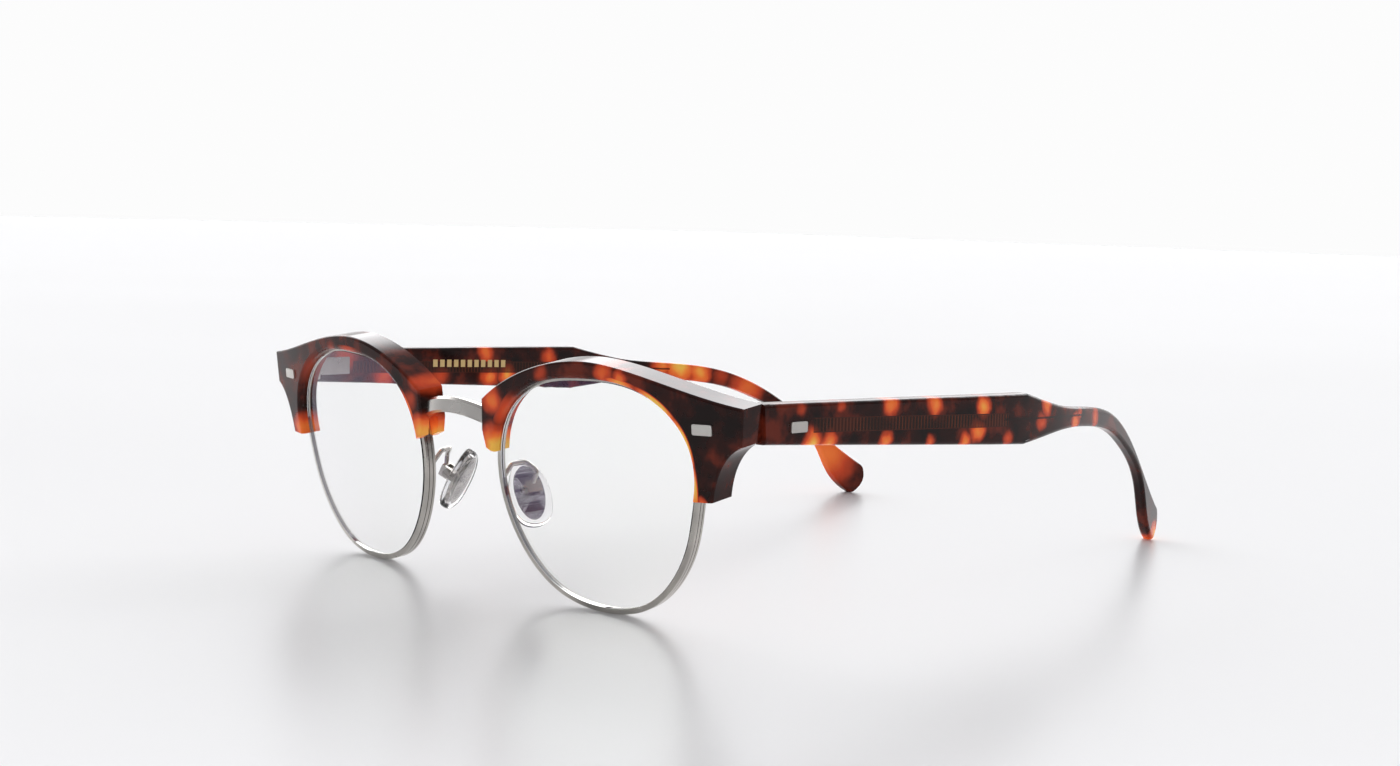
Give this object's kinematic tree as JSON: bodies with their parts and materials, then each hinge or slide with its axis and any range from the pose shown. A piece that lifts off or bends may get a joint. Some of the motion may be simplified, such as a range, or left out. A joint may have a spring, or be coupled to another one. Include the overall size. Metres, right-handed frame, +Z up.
{
  "type": "half rim eyeglasses",
  "caption": "Browline eyeglasses: tortoise acetate brows over metal rims, clear lenses, metal bridge, rocking nose pads and folding temples.",
  "frame": {"origin": "middle of the footprint, on the surface the glasses stand on", "axes": "+X is the wearer's left, -Y is the way the lenses face, +Y runs back along the temples, +Z is up"},
  "size_m": [0.135, 0.1648, 0.0445],
  "materials": {
    "tortoise_acetate": "polished dark tortoise with amber and red-brown blotches",
    "silver_metal": "polished silver plate",
    "hardware_metal": "satin silver",
    "core_metal": "drawn wire core",
    "plate_metal": "bright plate with a faint violet cast",
    "clear_lens": "polished, with a faint anti-reflection tint",
    "clear_silicone": "clear, soft gloss"
  },
  "bodies": {
    "front": {"bridge": "silver_metal", "brow_left": "tortoise_acetate", "brow_right": "tortoise_acetate", "eyewire_left": "silver_metal", "eyewire_right": "silver_metal", "lens_left": "clear_lens", "lens_right": "clear_lens", "rim_lock_left": "hardware_metal", "rim_lock_right": "hardware_metal", "lock_screw_left": "hardware_metal", "lock_screw_right": "hardware_metal", "front_hinge_left": "hardware_metal", "front_hinge_right": "hardware_metal", "front_rivet_left": "hardware_metal", "front_rivet_right": "hardware_metal", "hinge_screw_left": "hardware_metal", "hinge_screw_right": "hardware_metal", "pad_arm_left": "hardware_metal", "pad_arm_right": "hardware_metal", "pad_box_left": "hardware_metal", "pad_box_right": "hardware_metal", "pad_screw_left": "hardware_metal", "pad_screw_right": "hardware_metal"},
    "temple_left": {"temple_left": "tortoise_acetate", "temple_core_left": "core_metal", "temple_hinge_left": "hardware_metal", "temple_rivet_left": "hardware_metal"},
    "pad_left": {"pad_plate_left": "plate_metal", "nose_pad_left": "clear_silicone"},
    "temple_right": {"temple_right": "tortoise_acetate", "temple_core_right": "core_metal", "temple_hinge_right": "hardware_metal", "temple_rivet_right": "hardware_metal"},
    "pad_right": {"pad_plate_right": "plate_metal", "nose_pad_right": "clear_silicone"}
  },
  "joints": [
    {"name": "temple_left_fold", "type": "hinge", "parent": "front", "child": "temple_left", "pos_m": [0.0624, -0.06854, 0.0354], "axis": [0, 0, 1], "range_deg": [0, 84]},
    {"name": "temple_right_fold", "type": "hinge", "parent": "front", "child": "temple_right", "pos_m": [-0.0624, -0.06854, 0.0354], "axis": [0, 0, -1], "range_deg": [0, 66]},
    {"name": "pad_left_rock", "type": "hinge", "parent": "front", "child": "pad_left", "pos_m": [0.01262, -0.07199, 0.01923], "axis": [0.3676, 0.9237, 0.1076], "range_deg": [-8, 8]},
    {"name": "pad_right_rock", "type": "hinge", "parent": "front", "child": "pad_right", "pos_m": [-0.01262, -0.07199, 0.01923], "axis": [0.3676, -0.9237, -0.1076], "range_deg": [-8, 8]}
  ]
}
